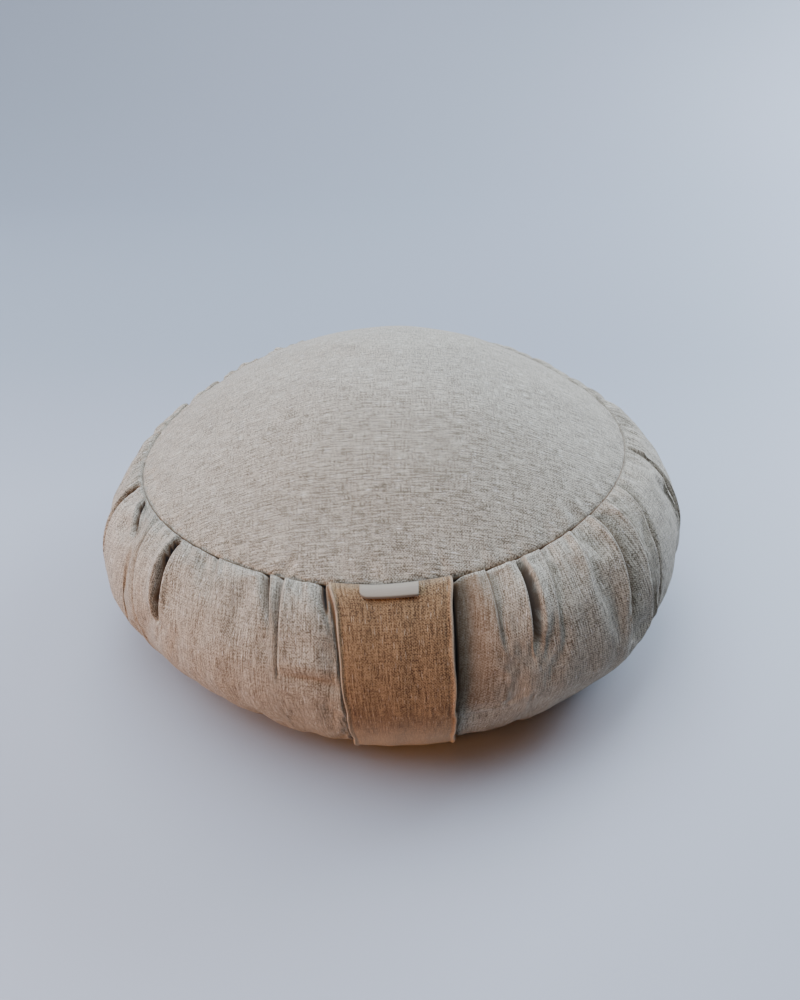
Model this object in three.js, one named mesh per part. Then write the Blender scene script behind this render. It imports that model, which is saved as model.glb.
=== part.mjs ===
// Round floor cushion in natural linen: a crowned top, a pleated side band and a flat base make one
// filled solid, with a flat carrying strap over its front and a small folded label at the ring seam.
// Millimetres, +Z up. Angles are in degrees round the cushion from the front (-Y) towards +X.
import * as THREE from "three";

// The round panels. The ring seam joins the top to the band, and the base seam lies on the floor.
const SEAM_RADIUS = 158;
const SEAM_LEFT = 6;
const SEAM_BACK = 7.5;
const SEAM_GROOVE = 1.8;
const CROWN_HEIGHT = 168;
const CROWN_RIGHT = 2;
const CROWN_PEAK = 1.1;
const BASE_RADIUS = 153;
const BASE_RIGHT = 3;
const BASE_FRONT = 2.5;
const BASE_FLAT_RADIUS = 148;

// The band, from v = 0 at the ring seam over v = WIDEST at its fullest line to v = 1 at the base seam.
const WIDEST = 0.4;
const WIDEST_LEVEL = 0.51;
const SHOULDER_ROUND = 2;
const TAPER_ROUND = 1.3;

// The middle of the finished cushion's box, which becomes the origin.
const BOX_MIDDLE_X = 0.6;
const BOX_MIDDLE_Y = -0.6;

// How full the band is and how high the ring seam stands, at every 30 degrees from the back.
// The left side has slumped lower than the right one.
const FULLNESS = [
  { angle: -180, fullest: 189, seamHeight: 119.5 },
  { angle: -150, fullest: 190, seamHeight: 114.5 },
  { angle: -120, fullest: 178, seamHeight: 103 },
  { angle: -90, fullest: 187, seamHeight: 100.5 },
  { angle: -60, fullest: 191, seamHeight: 106 },
  { angle: -30, fullest: 188, seamHeight: 109.5 },
  { angle: 0, fullest: 187.5, seamHeight: 111 },
  { angle: 30, fullest: 192, seamHeight: 116 },
  { angle: 60, fullest: 191.5, seamHeight: 121 },
  { angle: 90, fullest: 188.5, seamHeight: 119.5 },
  { angle: 120, fullest: 178, seamHeight: 116 },
  { angle: 150, fullest: 190, seamHeight: 119 },
];

// Places where the filling pushes the band out by push, over reach degrees and span of the band.
const BULGES = [
  { angle: -140, v: 0.5, reach: 18, span: 0.22, push: 2.5 },
  { angle: 46, v: 0.52, reach: 10, span: 0.16, push: 4 },
  { angle: 112, v: 0.45, reach: 16, span: 0.22, push: 2 },
  { angle: 172, v: 0.5, reach: 16, span: 0.2, push: 2 },
];

// The tight strap flattens the shoulder of the band under it.
const PRESS_MIDDLE = 3.2;
const PRESS_REACH = 10;
const PRESS_EDGE = 6;
const PRESSED_SHOULDER = 1.6;

// The pleats that start at the ring seam. A pleat's upper cloth ends in a folded lip that faces away
// from the strap, and the cloth beside the lip lies deeper by depth and comes back over mouth.
// lean is how far the lip has moved round at the lower end, and length is a share of the band.
const PLEATS = [
  { angle: -170, lean: 2, length: 0.34, depth: 7, mouth: 12 },
  { angle: -156, lean: 3, length: 0.3, depth: 5, mouth: 10 },
  { angle: -141, lean: 3, length: 0.38, depth: 9, mouth: 12 },
  { angle: -127, lean: 4, length: 0.32, depth: 6, mouth: 10 },
  { angle: -114, lean: 5, length: 0.36, depth: 7, mouth: 11 },
  { angle: -98, lean: 8, length: 0.34, depth: 8, mouth: 11 },
  { angle: -84, lean: 6, length: 0.3, depth: 4, mouth: 8 },
  { angle: -71.5, lean: 2.5, length: 0.36, depth: 8, mouth: 9 },
  { angle: -64.5, lean: 8, length: 0.3, depth: 9, mouth: 7 },
  { angle: -54, lean: 3, length: 0.44, depth: 3, mouth: 9 },
  { angle: -44.2, lean: 2.2, length: 0.34, depth: 16, mouth: 4.6 },
  { angle: -33.2, lean: 1.5, length: 0.2, depth: 2.5, mouth: 8 },
  { angle: -21.2, lean: 1.8, length: 0.22, depth: 4, mouth: 5 },
  { angle: -17.8, lean: 0, length: 0.34, depth: 4, mouth: 5 },
  { angle: 15.6, lean: -3, length: 0.6, depth: 5, mouth: 7 },
  { angle: 21, lean: -2, length: 0.26, depth: 3, mouth: 6 },
  { angle: 27.5, lean: -3.8, length: 0.34, depth: 16, mouth: 4.4 },
  { angle: 33.5, lean: -4.4, length: 0.32, depth: 3, mouth: 8 },
  { angle: 42, lean: -3, length: 0.2, depth: 2.5, mouth: 8 },
  { angle: 48.5, lean: -3.8, length: 0.4, depth: 6, mouth: 7 },
  { angle: 54.5, lean: -3.2, length: 0.46, depth: 8, mouth: 7 },
  { angle: 61.5, lean: -7.5, length: 0.4, depth: 7, mouth: 8 },
  { angle: 78.5, lean: -5.5, length: 0.42, depth: 9, mouth: 10 },
  { angle: 92, lean: -4, length: 0.32, depth: 6, mouth: 11 },
  { angle: 106, lean: -4, length: 0.38, depth: 8, mouth: 12 },
  { angle: 121, lean: -4, length: 0.3, depth: 5, mouth: 11 },
  { angle: 135, lean: -3, length: 0.36, depth: 8, mouth: 12 },
  { angle: 150, lean: -3, length: 0.32, depth: 6, mouth: 11 },
  { angle: 165, lean: -2, length: 0.36, depth: 7, mouth: 12 },
];
const LIP_ROLL = 1.6;
const LIP_SWELL = 0.16;
const LIP_SWELL_WIDTH = 7;

// The mesh: columns stand closer together at each lip, rows closer together near the seams.
const LIP_COLUMNS = [
  { upToDepth: 4.5, offsets: [-4, 0, 5] },
  { upToDepth: 6.5, offsets: [-5, -0.8, 0.9, 6, 13] },
  { upToDepth: 99, offsets: [-7, -0.8, 0.9, 4.5, 8, 14] },
];
const COLUMN_GAP = 4.6;
const CLOSEST_COLUMNS = 0.45;
const BAND_ROWS = [0.015, 0.045, 0.09, 0.135, 0.185, 0.24, 0.3, 0.365, 0.44, 0.53, 0.63, 0.73, 0.83, 0.92,
  0.975];
const TOP_ROWS = [0.986, 0.91, 0.76, 0.58, 0.38, 0.18];

// The strap: width and place along the band, lift of its edges off the band.
const STRAP = [
  { v: 0, middle: 3.2, width: 64, leftLift: 0, rightLift: 0 },
  { v: 0.25, middle: 2.3, width: 60, leftLift: 0.5, rightLift: 3 },
  { v: 0.5, middle: 2.5, width: 58, leftLift: 0.5, rightLift: 1.5 },
  { v: 0.8, middle: 2.9, width: 58, leftLift: 2, rightLift: 0 },
  { v: 1, middle: 3.2, width: 58, leftLift: 0, rightLift: 0 },
];
const STRAP_START = 0.012;
const STRAP_END = 0.9;
const STRAP_THICKNESS = 3;
const STRAP_SEWN_THICKNESS = 1.2;
const STRAP_THINNING = 0.06;
const STRAP_ACROSS = 10;
const STRAP_ALONG = 30;

// The label: a folded tape that hangs from the ring seam in front of the strap.
const LABEL_MIDDLE = 2.2;
const LABEL_WIDTH = 31;
const LABEL_START = 0.016;
const LABEL_END = 0.088;
const LABEL_THICKNESS = 1.6;
const LABEL_FOLD_LIFT = 1.6;
const LABEL_ACROSS = 10;
const LABEL_ALONG = 5;

// Sewn-on pieces stay this far from what they lie on.
const GAP = 0.5;

const LINEN = 0xb3a797;
const LABEL_GREY = 0xbab6b4;

const QUARTER_TURN = Math.PI / 2;
const FULL_TURN = 360;

function radians(degrees) {
  return (degrees * Math.PI) / 180;
}

function clamp01(x) {
  return Math.min(Math.max(x, 0), 1);
}

function smooth(x) {
  const t = clamp01(x);
  return t * t * (3 - 2 * t);
}

function mix(a, b, share) {
  return a + (b - a) * share;
}

// A smooth closed curve through one column of the fullness rows (Catmull-Rom).
function fullnessAt(angle, column) {
  const count = FULLNESS.length;
  const place = ((((angle + 180) % FULL_TURN) + FULL_TURN) % FULL_TURN) / (FULL_TURN / count);
  const row = Math.floor(place);
  const f = place - row;
  const value = (step) => FULLNESS[(row + step + count) % count][column];
  const bend = 2 * value(-1) - 5 * value(0) + 4 * value(1) - value(2);
  const twist = 3 * (value(0) - value(1)) + value(2) - value(-1);
  return value(0) + 0.5 * f * (value(1) - value(-1) + f * (bend + f * twist));
}

const MEAN_SEAM_HEIGHT = FULLNESS.reduce((sum, row) => sum + row.seamHeight, 0) / FULLNESS.length;

function outward(angle) {
  return new THREE.Vector3(Math.sin(radians(angle)), -Math.cos(radians(angle)), 0);
}

function seamPoint(angle) {
  const point = outward(angle).multiplyScalar(SEAM_RADIUS);
  return point.add(new THREE.Vector3(-SEAM_LEFT, SEAM_BACK, fullnessAt(angle, "seamHeight")));
}

function basePoint(angle, radius) {
  return outward(angle).multiplyScalar(radius).add(new THREE.Vector3(BASE_RIGHT, -BASE_FRONT, 0));
}

function turnBetween(angle, other) {
  return ((((angle - other) % FULL_TURN) + 540) % FULL_TURN) - 180;
}

function bulgeAt(angle, v) {
  return BULGES.reduce((sum, bulge) => {
    const round = turnBetween(angle, bulge.angle) / bulge.reach;
    const along = (v - bulge.v) / bulge.span;
    return sum + bulge.push * Math.exp(-(round ** 2) - along ** 2);
  }, 0);
}

function shoulderAt(angle) {
  const beside = Math.abs(turnBetween(angle, PRESS_MIDDLE)) - PRESS_REACH;
  return mix(PRESSED_SHOULDER, SHOULDER_ROUND, smooth(beside / PRESS_EDGE));
}

// The smooth band: a rounded shoulder down to its fullest line, then a nearly straight taper to the base.
function bandPoint(angle, v) {
  const seam = seamPoint(angle);
  const level = WIDEST_LEVEL * seam.z;
  const full = outward(angle).multiplyScalar(fullnessAt(angle, "fullest")).setZ(level);
  if (v <= WIDEST) {
    const turn = (v / WIDEST) * QUARTER_TURN;
    const shoulder = shoulderAt(angle);
    const out = Math.sin(turn) ** (2 / shoulder);
    const up = Math.max(Math.cos(turn), 0) ** (2 / shoulder);
    const point = seam.clone().lerp(full, out).setZ(level + (seam.z - level) * up);
    return point.addScaledVector(outward(angle), bulgeAt(angle, v));
  }
  const turn = ((v - WIDEST) / (1 - WIDEST)) * QUARTER_TURN;
  const out = Math.max(Math.cos(turn), 0) ** (2 / TAPER_ROUND);
  const up = 1 - Math.sin(turn) ** (2 / TAPER_ROUND);
  const point = basePoint(angle, BASE_RADIUS).lerp(full, out).setZ(level * up);
  return point.addScaledVector(outward(angle), bulgeAt(angle, v));
}

// The direction that points straight out of the smooth band.
function bandOut(angle, v) {
  const step = 0.01;
  const here = Math.min(Math.max(v, step), 1 - step);
  const along = bandPoint(angle, here + step).sub(bandPoint(angle, here - step));
  const round = bandPoint(angle + 1, here).sub(bandPoint(angle - 1, here));
  return along.cross(round).normalize();
}

function topPoint(angle, share) {
  const seam = seamPoint(angle);
  const dome = (CROWN_HEIGHT - MEAN_SEAM_HEIGHT) * (1 - share * share) ** CROWN_PEAK;
  const x = seam.x * share + CROWN_RIGHT * (1 - share);
  return new THREE.Vector3(x, seam.y * share, mix(MEAN_SEAM_HEIGHT, seam.z, share) + dome);
}

// A pleat is shut at the seam, opens quickly below it and runs out smoothly at its lower end.
function pleatOpening(pleat, v) {
  const x = clamp01(v / pleat.length);
  return 2.1 * x ** 0.35 * (1 - x) ** 0.9;
}

function leanAt(pleat, v) {
  return pleat.lean * Math.sin(QUARTER_TURN * clamp01(v / pleat.length));
}

// Cloth between two pleats leans by a share of each.
function lean(angle, v) {
  const next = Math.max(PLEATS.findIndex((pleat) => pleat.angle > angle), 0);
  const after = PLEATS[next];
  const before = PLEATS[(next + PLEATS.length - 1) % PLEATS.length];
  const span = (after.angle - before.angle + FULL_TURN) % FULL_TURN;
  const share = ((angle - before.angle + FULL_TURN) % FULL_TURN) / span;
  return mix(leanAt(before, v), leanAt(after, v), share);
}

// How far the pleats push the cloth in or out, for cloth that left the seam at this angle.
function pleatRelief(angle, v) {
  let relief = 0;
  for (const pleat of PLEATS) {
    const side = Math.sign(pleat.angle);
    const past = radians(turnBetween(angle, pleat.angle)) * SEAM_RADIUS * side;
    const drop = smooth(past / LIP_ROLL + 0.5);
    const recovery = Math.exp(-((Math.max(past, 0) / pleat.mouth) ** 3));
    const swell = past < 0 ? LIP_SWELL * Math.exp(-((past / LIP_SWELL_WIDTH) ** 2)) : 0;
    relief += pleatOpening(pleat, v) * pleat.depth * (swell - drop * recovery);
  }
  return relief;
}

function pleatedPoint(angle, v) {
  const leaned = angle + lean(angle, v);
  return bandPoint(leaned, v).addScaledVector(bandOut(leaned, v), pleatRelief(angle, v));
}

// Angles of the mesh columns: a few at every lip, then enough others to fill the gaps.
function columnAngles() {
  const angles = [];
  const add = (angle) => {
    if (angles.every((other) => Math.abs(turnBetween(other, angle)) >= CLOSEST_COLUMNS)) {
      angles.push(turnBetween(angle, 0));
    }
  };
  for (const pleat of PLEATS) {
    const { offsets } = LIP_COLUMNS.find((row) => pleat.depth <= row.upToDepth);
    for (const offset of offsets) {
      add(pleat.angle + (Math.sign(pleat.angle) * offset) / (radians(1) * SEAM_RADIUS));
    }
  }
  angles.sort((a, b) => a - b);
  const filled = [];
  angles.forEach((angle, index) => {
    const next = index + 1 < angles.length ? angles[index + 1] : angles[0] + FULL_TURN;
    const parts = Math.ceil((next - angle) / COLUMN_GAP);
    for (let part = 0; part < parts; part += 1) {
      filled.push(angle + ((next - angle) * part) / parts);
    }
  });
  return filled;
}

function geometryFrom(points, triangles) {
  const geometry = new THREE.BufferGeometry();
  const coordinates = points.flatMap((point) => [point.x, point.y, point.z]);
  geometry.setAttribute("position", new THREE.Float32BufferAttribute(coordinates, 3));
  geometry.setIndex(triangles);
  geometry.computeVertexNormals();
  return geometry;
}

// A closed skin over rings of points that run from a lowest point up to a highest one.
function ringSkin(lowest, rings, highest) {
  const count = rings[0].length;
  const points = [lowest, ...rings.flat(), highest];
  const last = points.length - 1;
  const triangles = [];
  for (let column = 0; column < count; column += 1) {
    const next = (column + 1) % count;
    triangles.push(0, 1 + next, 1 + column);
    for (let ring = 0; ring + 1 < rings.length; ring += 1) {
      const a = 1 + ring * count + column;
      const b = 1 + ring * count + next;
      triangles.push(a, b, b + count, a, b + count, a + count);
    }
    const start = 1 + (rings.length - 1) * count;
    triangles.push(start + column, start + next, last);
  }
  return geometryFrom(points, triangles);
}

// A closed plate whose outer and inner faces are functions of two shares, u across and w along.
function plate(outer, inner, across, along) {
  const points = [];
  for (const face of [outer, inner]) {
    for (let row = 0; row <= along; row += 1) {
      for (let column = 0; column <= across; column += 1) {
        points.push(face(column / across, row / along));
      }
    }
  }
  const wide = across + 1;
  const back = wide * (along + 1);
  const triangles = [];
  const quad = (a, b, c, d) => triangles.push(a, b, c, a, c, d);
  for (let row = 0; row < along; row += 1) {
    for (let column = 0; column < across; column += 1) {
      const a = row * wide + column;
      quad(a, a + wide, a + wide + 1, a + 1);
      quad(back + a, back + a + 1, back + a + wide + 1, back + a + wide);
    }
    const left = row * wide;
    const right = left + across;
    quad(left, back + left, back + left + wide, left + wide);
    quad(right, right + wide, back + right + wide, back + right);
  }
  for (let column = 0; column < across; column += 1) {
    const low = along * wide + column;
    quad(column, column + 1, back + column + 1, back + column);
    quad(low, back + low, back + low + 1, low + 1);
  }
  return geometryFrom(points, triangles);
}

function cloth(name, geometry, colour, roughness) {
  const material = new THREE.MeshStandardMaterial({ color: colour, roughness, metalness: 0 });
  const mesh = new THREE.Mesh(geometry, material);
  mesh.name = name;
  return mesh;
}

function cushionBody() {
  const angles = columnAngles();
  const flat = angles.map((angle) => basePoint(angle, BASE_FLAT_RADIUS));
  const band = [...BAND_ROWS].reverse().map((v) => angles.map((angle) => pleatedPoint(angle, v)));
  const seam = angles.map((angle) => seamPoint(angle).sub(new THREE.Vector3(0, 0, SEAM_GROOVE)));
  const top = TOP_ROWS.map((share) => angles.map((angle) => topPoint(angle, share)));
  const lowest = basePoint(0, 0);
  const highest = topPoint(0, 0);
  return cloth("cushion_body", ringSkin(lowest, [flat, ...band, seam, ...top], highest), LINEN, 0.95);
}

// One column of the strap rows at a place on the band, eased from row to row.
function strapAt(v, column) {
  const index = Math.max(STRAP.findIndex((row) => row.v >= v), 1);
  const before = STRAP[index - 1];
  const after = STRAP[index];
  return mix(before[column], after[column], smooth((v - before.v) / (after.v - before.v)));
}

// A point over the band, for a strap share u from its left edge to its right one.
function strapPoint(u, v, height) {
  const width = strapAt(v, "width");
  const radius = -bandPoint(0, v).y;
  const angle = strapAt(v, "middle") + ((u - 0.5) * width) / (radians(1) * radius);
  const lift = strapAt(v, "leftLift") * (1 - u) ** 3 + strapAt(v, "rightLift") * u ** 3;
  return bandPoint(angle, v).add(bandOut(angle, v).multiplyScalar(GAP + lift + height));
}

// The strap is pressed thin where the seams hold it.
function strapThickness(v) {
  const fromEnd = Math.min(v - STRAP_START, STRAP_END - v);
  return mix(STRAP_SEWN_THICKNESS, STRAP_THICKNESS, smooth(fromEnd / STRAP_THINNING));
}

function carryStrap() {
  const at = (w) => mix(STRAP_START, STRAP_END, w);
  const outer = (u, w) => strapPoint(u, at(w), strapThickness(at(w)));
  const inner = (u, w) => strapPoint(u, at(w), 0);
  return cloth("carry_strap", plate(outer, inner, STRAP_ACROSS, STRAP_ALONG), LINEN, 0.95);
}

function labelPoint(u, w, height) {
  const v = mix(LABEL_START, LABEL_END, w);
  const beside = (LABEL_MIDDLE - strapAt(v, "middle")) * radians(1) * SEAM_RADIUS;
  const share = 0.5 + (beside + (u - 0.5) * LABEL_WIDTH) / strapAt(v, "width");
  return strapPoint(share, v, strapThickness(v) + GAP + LABEL_FOLD_LIFT * w * w + height);
}

function label() {
  const outer = (u, w) => labelPoint(u, w, LABEL_THICKNESS);
  const inner = (u, w) => labelPoint(u, w, 0);
  return cloth("label", plate(outer, inner, LABEL_ACROSS, LABEL_ALONG), LABEL_GREY, 0.8);
}

const cushion = new THREE.Group();
cushion.add(cushionBody(), carryStrap(), label());
cushion.position.set(-BOX_MIDDLE_X, -BOX_MIDDLE_Y, 0);

export default cushion;
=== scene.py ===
"""Round floor cushion in washed linen, with a pleated band, a carrying strap and a folded label.

Shapes are worked out in millimetres and go into the meshes in metres. Angles are in degrees round the
cushion from the front (-Y) towards +X. On the band, v runs from 0 at the ring seam to 1 at the base seam.
"""

import bpy
import numpy as np
from mathutils import Matrix, Vector


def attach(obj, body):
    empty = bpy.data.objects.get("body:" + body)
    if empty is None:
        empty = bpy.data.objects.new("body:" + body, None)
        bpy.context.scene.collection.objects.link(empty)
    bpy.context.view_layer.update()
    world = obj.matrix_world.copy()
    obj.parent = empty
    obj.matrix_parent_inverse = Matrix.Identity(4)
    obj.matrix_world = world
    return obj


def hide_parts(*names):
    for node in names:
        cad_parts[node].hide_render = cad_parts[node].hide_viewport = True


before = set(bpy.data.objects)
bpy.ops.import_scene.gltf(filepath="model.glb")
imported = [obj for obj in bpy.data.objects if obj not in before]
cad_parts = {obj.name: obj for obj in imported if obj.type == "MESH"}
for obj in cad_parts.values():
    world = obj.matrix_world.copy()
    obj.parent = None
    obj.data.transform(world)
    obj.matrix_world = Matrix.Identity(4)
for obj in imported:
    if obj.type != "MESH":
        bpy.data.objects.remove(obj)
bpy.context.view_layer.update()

bl_info = {
    "name": "Round linen floor cushion",
    "version": (1, 0, 0),
    "blender": (4, 5, 0),
    "location": "View3D > Sidebar > Cushion",
    "description": "Builds a pleated round cushion cover, its strap and its label on the packed part",
    "category": "Add Mesh",
}

MM = 0.001
BOX_MIDDLE = np.array([0.6, -0.6, 0.0])

# The round panels
SEAM_RADIUS = 158.0
SEAM_SHIFT = np.array([-6.0, 7.5])
CROWN_HEIGHT = 168.0
CROWN_RIGHT = 2.0
CROWN_PEAK = 1.1
BASE_RADIUS = 153.0
BASE_SHIFT = np.array([3.0, -2.5])

# Rings of the base panel: share of its radius, height
BASE_RINGS = ((0.994, 1.4), (0.985, 0.35), (0.972, 0.1), (0.96, 0), (0.75, 0), (0.5, 0), (0.25, 0))

# How deep the seams are drawn in, and how far round the front the ring seam is deepest
FRONT_SEAM_DEPTH = 2.6
BACK_SEAM_DEPTH = 1.2
SEAM_FRONT_REACH = 62.0
BASE_SEAM_DEPTH = 2.2

# The band: the v and the level of its fullest line, how round it is above and below that line, and how the
# tight strap flattens its shoulder
WIDEST = 0.4
WIDEST_LEVEL = 0.51
SHOULDER_ROUND = 2.0
TAPER_ROUND = 1.3
PRESS_MIDDLE = 3.2
PRESS_REACH = 10.0
PRESS_EDGE = 6.0
PRESSED_SHOULDER = 1.6
MEAN_FULLEST = 190.0

# The crease left of the strap, where the cloth has slumped over itself
CREASE_LEVEL = 0.3
CREASE_ANGLE = -12.5
CREASE_REACH = 5.0

# Columns: angle, how far out the band is at its fullest, height of the ring seam
FULLNESS = np.array([
    (-180, 189, 119.5),
    (-150, 190, 114.5),
    (-120, 178, 103),
    (-90, 187, 100.5),
    (-60, 191, 106),
    (-30, 188, 109.5),
    (0, 187.5, 111),
    (30, 192, 116),
    (60, 191.5, 121),
    (90, 188.5, 119.5),
    (120, 178, 116),
    (150, 190, 119),
])
_, FULL_RADII, SEAM_HEIGHTS = FULLNESS.T

# Columns: angle, v, reach round in degrees, span in v, push outwards
BULGES = np.array([
    (-140, 0.5, 18, 0.22, 2.5),
    (46, 0.52, 10, 0.16, 4),
    (112, 0.45, 16, 0.22, 2),
    (172, 0.5, 16, 0.2, 2),
])

# Columns: angle, lean at the lower end, length as a share of the band, depth, mouth, width of the painted
# dark line at the lip, how dark that painted shade is at its lower end. Past DEEP the pleat is a slit with a
# steep far wall.
PLEATS = np.array([
    (-170, 2, 0.5, 4.5, 9, 1.2, 0.3),
    (-156, 3, 0.42, 3.5, 8, 1, 0.3),
    (-141, 3, 0.56, 5.5, 9, 1.4, 0.3),
    (-127, 4, 0.45, 4, 8, 1.2, 0.3),
    (-114, 5, 0.5, 5, 9, 1.4, 0.3),
    (-98, 6, 0.42, 7, 6, 2, 0.4),
    (-84, 6, 0.3, 4, 8, 1, 0.3),
    (-71.5, 2.5, 0.42, 12, 4.5, 8, 0.8),
    (-64.5, 8, 0.13, 10, 4, 7, 0.3),
    (-54, 3, 0.44, 3, 9, 0.8, 0.2),
    (-44.2, 1.4, 0.32, 16, 5.5, 11, 0.5),
    (-33.2, 1.5, 0.2, 2.5, 8, 0.8, 0.3),
    (-21.2, 1.8, 0.22, 5, 5, 1.8, 0.3),
    (-17.8, 0, 0.34, 4, 5, 1, 0.3),
    (-9.8, 0.6, 0.15, 5, 4, 2.6, 0.2),
    (13.8, -4, 0.6, 5, 7, 2.5, 0.3),
    (21, -2, 0.26, 3, 6, 0.8, 0.3),
    (27.5, -3.5, 0.275, 13, 6, 1.6, 0.5),
    (33.5, -4.4, 0.32, 3, 8, 0.8, 0.3),
    (42, -3, 0.2, 2.5, 8, 0.8, 0.3),
    (48.5, -3.8, 0.42, 8, 6, 1.6, 0.5),
    (54.5, -3.2, 0.5, 7, 3, 2.4, 0.4),
    (61.5, -7.5, 0.5, 7, 3, 2.4, 0.4),
    (78.5, -5.5, 0.42, 11, 4, 7, 0.6),
    (92, -4, 0.45, 4.5, 8, 1.2, 0.3),
    (106, -4, 0.52, 5.5, 9, 1.4, 0.3),
    (121, -4, 0.42, 3.5, 8, 1, 0.3),
    (135, -3, 0.54, 5.5, 9, 1.4, 0.3),
    (150, -3, 0.44, 4, 8, 1.2, 0.3),
    (165, -2, 0.5, 5, 9, 1.4, 0.3),
])
PLEAT_ANGLE, PLEAT_LEAN, PLEAT_LENGTH, PLEAT_DEPTH, PLEAT_MOUTH, PLEAT_LINE, PLEAT_LOW = PLEATS.T
PLEAT_SIDE = np.sign(PLEAT_ANGLE)
DEEP = 9.5
IS_SLIT = PLEAT_DEPTH > DEEP

# Shape of the pleats, in mm or as shares of their depth
FAR_RIDGE = 0.2
LIP_ROLL = 1.1
LIP_SWELL = 0.16
LIP_SWELL_WIDTH = 7.0
LIP_OVERHANG = 0.1
LIP_RIM = 0.1
# Strength of the painted highlight on the pleats' crests
CREST_HIGHLIGHT = 0.5

# The strap. Columns: v, middle in degrees, width, lift of the left edge, lift of the right edge
STRAP = np.array([
    (0, 2.4, 61.5, 1, 1),
    (0.25, 1.8, 58, 1.2, 1.6),
    (0.5, 2.2, 57, 0.9, 1.2),
    (0.75, 2.5, 56.5, 1.2, 0.3),
    (0.9, 2.6, 56, 0, 0),
    (1, 2.6, 56, 0, 0),
])
MIDDLE, WIDTH, LEFT_LIFT, RIGHT_LIFT = 1, 2, 3, 4
STRAP_START = 0.005
STRAP_END = 0.915
STRAP_THICK = 2.1
STRAP_SEWN = 0.4
STRAP_THINNING = 0.045
STRAP_STEPS = 120
STRAP_COLUMNS = 73
GAP = 0.35

# The label, and the tape that it is folded from
LABEL_MIDDLE = 2.2
LABEL_WIDTH = 29.0
LABEL_START = 0.016
LABEL_END = 0.075
TAPE_THICK = 0.4
TAPE_BOW = 1.3
TAPE_LENGTH = 11.0
TAPE_CORNER = 4.0

# Where each cloth is cut from the bolt, in mm, so that no two show the same yarns, and the yarn spacing
TOP_CUT = 1000.0
STRAP_CUT = 2500.0
STRAP_INNER_CUT = 200.0
YARN_GAP = 0.75

# Cloth simulation: pressure, shrink (below 0 the cloth is cut larger), the furthest that it moves in mm, how
# often the swelling is evened, the share of it taken off, and the share of the wrinkles that the top keeps
CLOTH_PRESSURE = 4.0
CLOTH_SHRINK = -0.02
CLOTH_REACH = 4.0
CLOTH_FRAMES = 20
CLOTH_EVENING = 40
SWELLING_OFF = 0.85
TOP_WRINKLES = 0.5

# Mesh: the top is a square grid of cells drawn out to a disc, so that it has no pole. The
# columns of the band are closer at the strap's edges.
TOP_CELLS = 180
BAND_STEPS = 76
FINE_ANGLES = 14401
STRAP_EDGES = (-6.8, 13.9)

# Lights: name, place, width, height, colour, share of its kind's power
COOL = "#d5e4fb"
WARM = "#ffa748"
LIGHTS = (
    ("overhead_window", (-0.3, 0.2, 1.6), 2.2, 1.2, COOL, 0.86),
    ("left_window", (-1.5, 0.25, 0.75), 1.6, 1.1, COOL, 0.48),
    ("right_window", (1.3, 1.25, 0.95), 1.4, 1.1, COOL, 1.45),
    ("warm_room", (-1.0, -0.85, 0.31), 1.0, 0.4, WARM, 1.15),
)
LIGHT_TARGET = (0, 0, 0.05)
ROOM_COLOUR = "#c8d1dc"
ROOM_STRENGTH = 0.15
FLOOR_DROP = 0.0004

# The photograph's camera: 880 pixels of focal length in a frame 1000 pixels high
CAMERA_PLACE = (0.0044, -0.5075, 0.4011)
CAMERA_FORWARD = (0.0013, 0.834, -0.5518)
CAMERA_ROLL = 0.342
CAMERA_LENS = 31.68

# Settings of a Mix node for colours and of a noise over cloth, and the sockets of the Mix node
COLOURS = {"data_type": "RGBA"}
FLAT = {"noise_dimensions": "2D"}
FACTOR, UNDER, OVER, MIXED = 0, 6, 7, 2


def smooth(x):
    """Eases from 0 to 1 as x goes from 0 to 1: three squares less two cubes."""
    t = np.clip(x, 0.0, 1.0)
    return t * t * (3.0 - 2.0 * t)


def mix(a, b, share):
    """A straight line from a, at share 0, to b, at share 1."""
    return a + (b - a) * share


def bump(x):
    """A round hill of height 1 at x = 0 and about a third at x = 1."""
    return np.exp(-np.square(x))


def turn_between(angle, other):
    """The shorter way round from other to angle, from -180 to 180 degrees."""
    return (angle - other + 180.0) % 360.0 - 180.0


def radial(angle):
    """The level unit vector that points outwards at an angle."""
    a = np.radians(angle)
    return np.stack([np.sin(a), -np.cos(a), np.zeros_like(a)], axis=-1)


def roundabout(angle):
    """The level unit vector that points along the cushion's rim, towards larger angles."""
    a = np.radians(angle)
    return np.stack([np.cos(a), np.sin(a), np.zeros_like(a)], axis=-1)


def vectors(x, y, z):
    """Vectors with these three parts, each a number or an array."""
    return np.stack(np.broadcast_arrays(x, y, z), axis=-1).astype(float)


def soft_noise(angle, v, seed, waves, rounds, levels):
    """Soft unevenness: a mean of sine waves that run whole rounds about the cushion and levels along v."""
    rng = np.random.default_rng(seed)
    total = np.zeros(np.broadcast(angle, v).shape)
    for _ in range(waves):
        turns = rng.integers(rounds[0], rounds[1] + 1)
        along = rng.uniform(-levels, levels)
        phase = rng.uniform(0.0, 2.0 * np.pi)
        total = total + np.sin(np.radians(angle) * turns + 2.0 * np.pi * along * v + phase)
    return total / np.sqrt(waves)


def curve_round(values, angle):
    """A smooth closed curve through values evenly spaced from the back: the Catmull-Rom cubic between the
    four values about an angle."""
    place = ((np.asarray(angle, float) + 180.0) % 360.0) / (360.0 / len(values))
    row = np.floor(place).astype(int)
    f = place - row
    before, here, after, later = (values[(row + step) % len(values)] for step in (-1, 0, 1, 2))
    bend = 2 * before - 5 * here + 4 * after - later
    twist = 3 * (here - after) + later - before
    return here + 0.5 * f * (after - before + f * (bend + f * twist))


def seam_point(angle):
    """The ring seam: a level circle, moved a little left and back, at the height that FULLNESS gives."""
    return radial(angle) * SEAM_RADIUS + vectors(*SEAM_SHIFT, curve_round(SEAM_HEIGHTS, angle))


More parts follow.
